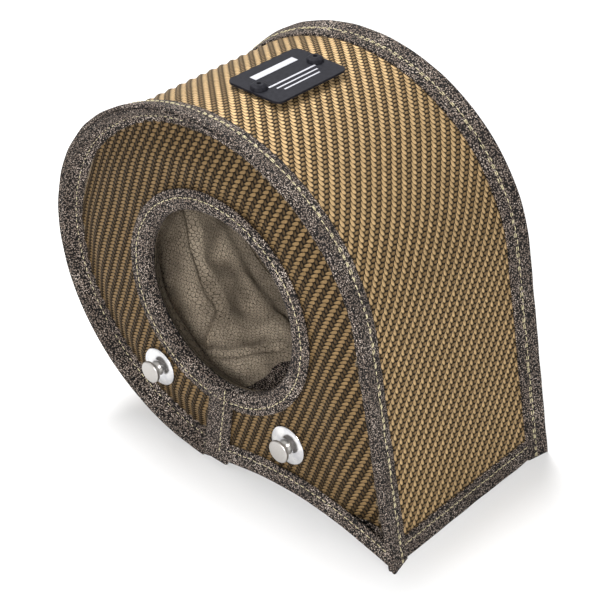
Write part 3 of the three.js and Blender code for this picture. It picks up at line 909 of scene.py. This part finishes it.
def band_end_tape(name, node, material, foot):
    """Tape folded over one end of the band, carried from seam to seam."""
    outer = BAND_FACE - 1.0
    inner = BAND_LINER_FACE + 1.6
    reach = FOOT_TAPE_REACH
    outer_leaf = [(outer, reach), (outer - 0.1, 0.4), (outer + 0.6, 0.0)]
    inner_leaf = [(inner - 0.6, 0.0), (inner, 0.4), (inner, reach)]
    back = [(inner - 1.0, reach), (inner - 1.0, 1.5), (outer + 1.0, 1.5), (outer + 1.0, reach)]
    section = np.concatenate([rounded(outer_leaf + inner_leaf, 0.7), rounded(back, 0.5)])
    depths = np.linspace(FOOT_TAPE_START, BAND_WIDTH - FOOT_TAPE_START, 60)
    points = np.zeros((len(depths), len(section), 3))
    lengths = section_lengths(section)
    for j, (inset, rise) in enumerate(section):
        spot = band_end_spot(inset, rise, foot)
        shake = waviness(depths, lengths[j], 51, 26.0, 0.35)
        points[:, j, 0] = spot[0] + (shake if foot else 0)
        points[:, j, 2] = np.maximum(spot[1] + (0 if foot else -shake), FLOOR)
        points[:, j, 1] = depths
    uvs = np.stack(np.broadcast_arrays(depths[:, None], lengths[None, :]), axis=-1)
    made = grid_object(name, points, uvs, wrap=True, caps=True, flip=foot)
    return dress(made, material, [node])


def band_end_spot(inset, rise, foot):
    """A point a little way in from one end of the band: up the flare, or round from the slit."""
    if foot:
        low, _ = outline(inset, np.array([0.0, 1.0]))
        direction = (low[1] - low[0]) / np.linalg.norm(low[1] - low[0])
        return low[0] + direction * rise
    last, _ = outline(inset, np.array([1.9, 2.0]))
    direction = (last[0] - last[1]) / np.linalg.norm(last[0] - last[1])
    return last[1] + direction * rise


def foot_stitches(material):
    """The row of stitches across the foot tape's outer leaf."""
    first = 13.0
    spot = band_end_spot(BAND_FACE - 1.25, 8.6, True)
    middles = np.arange(first, BAND_WIDTH - first, STITCH_PITCH)
    rng = np.random.default_rng(61)
    vertices = []
    for middle in middles:
        slide = rng.uniform(-0.2, 0.2)
        for step in STITCH_SHARES:
            thick = STITCH_WIDTH / 2 * (0.55 if abs(step) == 1 else 1.0)
            y = middle + step * STITCH_LENGTH / 2
            for turn in STITCH_TURNS:
                out = stitch_rise(step) + thick * math.cos(turn)
                vertices.append((spot[0] + out, y, spot[1] + slide + thick * math.sin(turn)))
    made = mesh_object("foot_tape_stitches", to_row(vertices), stitch_faces(len(middles)))
    dress(made, material)


def nameplate_marks(material):
    """Plain pale bars on the plate: a broad one at its head and three narrow ones below."""
    top = (PLATE_HIGH.z + 0.00012) / MM - HALF_HEIGHT
    vertices, faces = [], []
    for x, width, length in PLATE_BARS:
        base = len(vertices)
        for level in (top - 0.3, top):
            for right, far in ((-1, -1), (1, -1), (1, 1), (-1, 1)):
                vertices.append((-x + right * width / 2, BAND_WIDTH / 2 + far * length / 2, level))
        sides = [[0, 1, 5, 4], [1, 2, 6, 5], [2, 3, 7, 6], [3, 0, 4, 7], [4, 5, 6, 7], [3, 2, 1, 0]]
        faces.extend([[base + i for i in side] for side in sides])
    made = mesh_object("nameplate_marks", to_row(vertices), faces)
    made.data.shade_flat()
    dress(made, material)


def turned_front(side, x, z):
    """Places a turned piece on a panel: its height runs back from the seam's tip."""

    def place(local):
        return np.stack([local[..., 0] + x, on_side(side, local[..., 2]), local[..., 1] + z], axis=-1)

    return place


def capstan(side, where, steel, faced):
    """Dished washer and waisted stud with a flat head."""
    x, z = CAPSTANS[where]
    place = turned_front(side, x, z)
    face = PANEL_FACE - 0.3
    washer = [
        (WASHER_BORE, face),
        (WASHER_BORE, face - 1.68),
        (WASHER_RADIUS / 2, face - 1.62),
        (WASHER_RADIUS - 2.8, face - 1.3),
        (WASHER_RADIUS - 0.6, face - 0.75),
        (WASHER_RADIUS - 0.1, face - 0.5),
        (WASHER_RADIUS, face - 0.2),
        (WASHER_RADIUS - 0.2, face),
        (WASHER_BORE, face),
    ]
    washer_piece = lathe(f"{side}_washer_{where}", washer, place)
    dress(washer_piece, steel, [f"{side}_capstan_washer_{where}"])
    seat = face - 1.7
    top = seat - STUD_HEIGHT
    foot = PANEL_LINER_FACE + 2.0
    stud = [
        (0.01, top + 0.02),
        (STUD_RADIUS - 0.9, top + 0.02),
        (STUD_RADIUS - 0.45, top + 0.1),
        (STUD_RADIUS - 0.15, top + 0.32),
        (STUD_RADIUS, top + 0.7),
        (STUD_RADIUS, top + 1.5),
        (STUD_RADIUS - 0.15, top + 1.9),
        (STUD_RADIUS - 0.6, top + 2.2),
        (STUD_WAIST + 1.3, top + 2.45),
        (STUD_WAIST + 0.4, top + 2.9),
        (STUD_WAIST, top + 3.7),
        (STUD_WAIST + 0.05, top + 4.6),
        (STUD_WAIST + 0.5, top + 5.4),
        (STUD_WAIST + 1.6, seat),
        (SHANK_RADIUS, seat + 0.1),
        (SHANK_RADIUS, foot),
        (0.01, foot),
    ]
    stud_piece = lathe(f"{side}_stud_{where}", stud, place)
    dress(stud_piece, faced, [f"{side}_capstan_stud_{where}"])


def cad_piece(node, material):
    """A plain solid that is shown as it is, with its finish."""
    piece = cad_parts[node]
    piece.data.materials.clear()
    piece.data.materials.append(material)


# Studio


def add_camera():
    """The camera that was solved from the photo."""
    camera = bpy.data.cameras.new("camera")
    camera.sensor_width = CAMERA_SENSOR
    camera.lens = CAMERA_LENS
    holder = bpy.data.objects.new("camera", camera)
    turn = Matrix((Vector(CAMERA_RIGHT), -Vector(CAMERA_DOWN), -Vector(CAMERA_FORWARD)))
    place = turn.transposed().to_4x4()
    place.translation = Vector(CAMERA_SPOT)
    holder.matrix_world = place
    bpy.context.scene.collection.objects.link(holder)
    bpy.context.scene.camera = holder


def add_lamp(name, spot, aim, size, power):
    """A soft round lamp that points at a place."""
    lamp = bpy.data.lights.new(name, "AREA")
    lamp.shape = "DISK"
    lamp.size = size
    lamp.energy = power
    holder = bpy.data.objects.new(name, lamp)
    holder.location = spot
    holder.rotation_euler = (Vector(aim) - Vector(spot)).to_track_quat("-Z", "Y").to_euler()
    bpy.context.scene.collection.objects.link(holder)


def add_world():
    """White where the camera, a mirror or glass sees it, and a dimmer even light on everything else."""
    world = bpy.data.worlds.new("studio")
    world.use_nodes = True
    bpy.context.scene.world = world
    nodes = Nodes(world.node_tree)
    camera, glossy, glass = [
        nodes.node("ShaderNodeLightPath", output=ray)
        for ray in ("Is Camera Ray", "Is Glossy Ray", "Is Transmission Ray")
    ]
    seen = nodes.math("MAXIMUM", nodes.math("MAXIMUM", camera, glossy), glass)
    background = world.node_tree.nodes["Background"]
    nodes.join(WORLD_LEVEL + seen * (1.0 - WORLD_LEVEL), background.inputs["Strength"])
    background.inputs["Color"].default_value = (1.0, 1.0, 1.0, 1.0)


def add_floor():
    """A plain pale floor under the blanket."""
    mesh = bpy.data.meshes.new("floor")
    half = FLOOR_HALF
    corners = [(-half, -half, 0), (half, -half, 0), (half, half, 0), (-half, half, 0)]
    mesh.from_pydata(corners, [], [(0, 1, 2, 3)])
    floor = bpy.data.objects.new("floor", mesh)
    bpy.context.scene.collection.objects.link(floor)
    recipe = Recipe("floor", Roughness=0.9)
    grain = recipe.noise(recipe.place(), 30.0)
    recipe.finish(Base_Color=recipe.blend(grain, (0.90, 0.90, 0.90, 1), (0.92, 0.92, 0.92, 1)))
    mesh.materials.append(recipe.material)


def build():
    """Makes every piece and its finish."""
    weave_band = twill_weave(
        "band_weave", sheen_yarn=srgb(178, 150, 109), shaded_yarn=srgb(122, 99, 67), gap_shade=srgb(9, 6, 3)
    )
    # The panels' weave is the band's fabric with painted shade: its colours are darker copies of the band's.
    shaded_weave_panel = twill_weave(
        "panel_weave_painted_shade", sheen_yarn=srgb(124, 101, 69), shaded_yarn=srgb(74, 58, 37), gap_shade=srgb(6, 4, 2)
    )
    tape = bound_tape("knitted_tape", hole=srgb(8, 6, 6), yarn=srgb(124, 110, 100), fleck=srgb(236, 220, 207))
    fine_mesh = liner_mesh(
        "lining_mesh",
        ground=srgb(140, 127, 110),
        line=srgb(40, 34, 28),
        fade=srgb(186, 171, 150),
        wide=2.9,
        tall=3.0,
    )
    broad_mesh = liner_mesh(
        "panel_lining_mesh",
        ground=srgb(112, 100, 84),
        line=srgb(22, 18, 14),
        fade=srgb(134, 120, 102),
        wide=3.8,
        tall=6.4,
    )
    thread = pale_thread("sewing_thread")
    steel = polished_steel("polished_steel")
    faced = brushed_steel("brushed_steel")
    black = satin_black("satin_black")
    mark = etched_mark("pale_mark")
    band_cover(weave_band)
    band_lining(fine_mesh)
    for side in ("front", "rear"):
        panel_cover(side, shaded_weave_panel)
        panel_lining(side, broad_mesh)
        seam_tapes(side, tape)
        opening_binding(side, tape)
        stitching(side, thread)
        for where in CAPSTANS:
            capstan(side, where, steel, faced)
            cad_piece(f"{side}_capstan_retainer_{where}", faced)
    band_end_tape("foot_tape", "band_foot_tape", tape, foot=True)
    band_end_tape("slit_end_tape", "band_slit_end_tape", tape, foot=False)
    foot_stitches(thread)
    nameplate_marks(mark)
    for node in ("nameplate", "nameplate_rivet_1", "nameplate_rivet_2"):
        cad_piece(node, black)
    for number in (1, 2):
        cad_piece(f"rivet_backing_washer_{number}", faced)


build()
add_floor()
add_world()
for lamp_name, lamp_place in LAMPS.items():
    add_lamp(lamp_name, *lamp_place)
add_camera()
bpy.context.scene.view_settings.view_transform = "Standard"
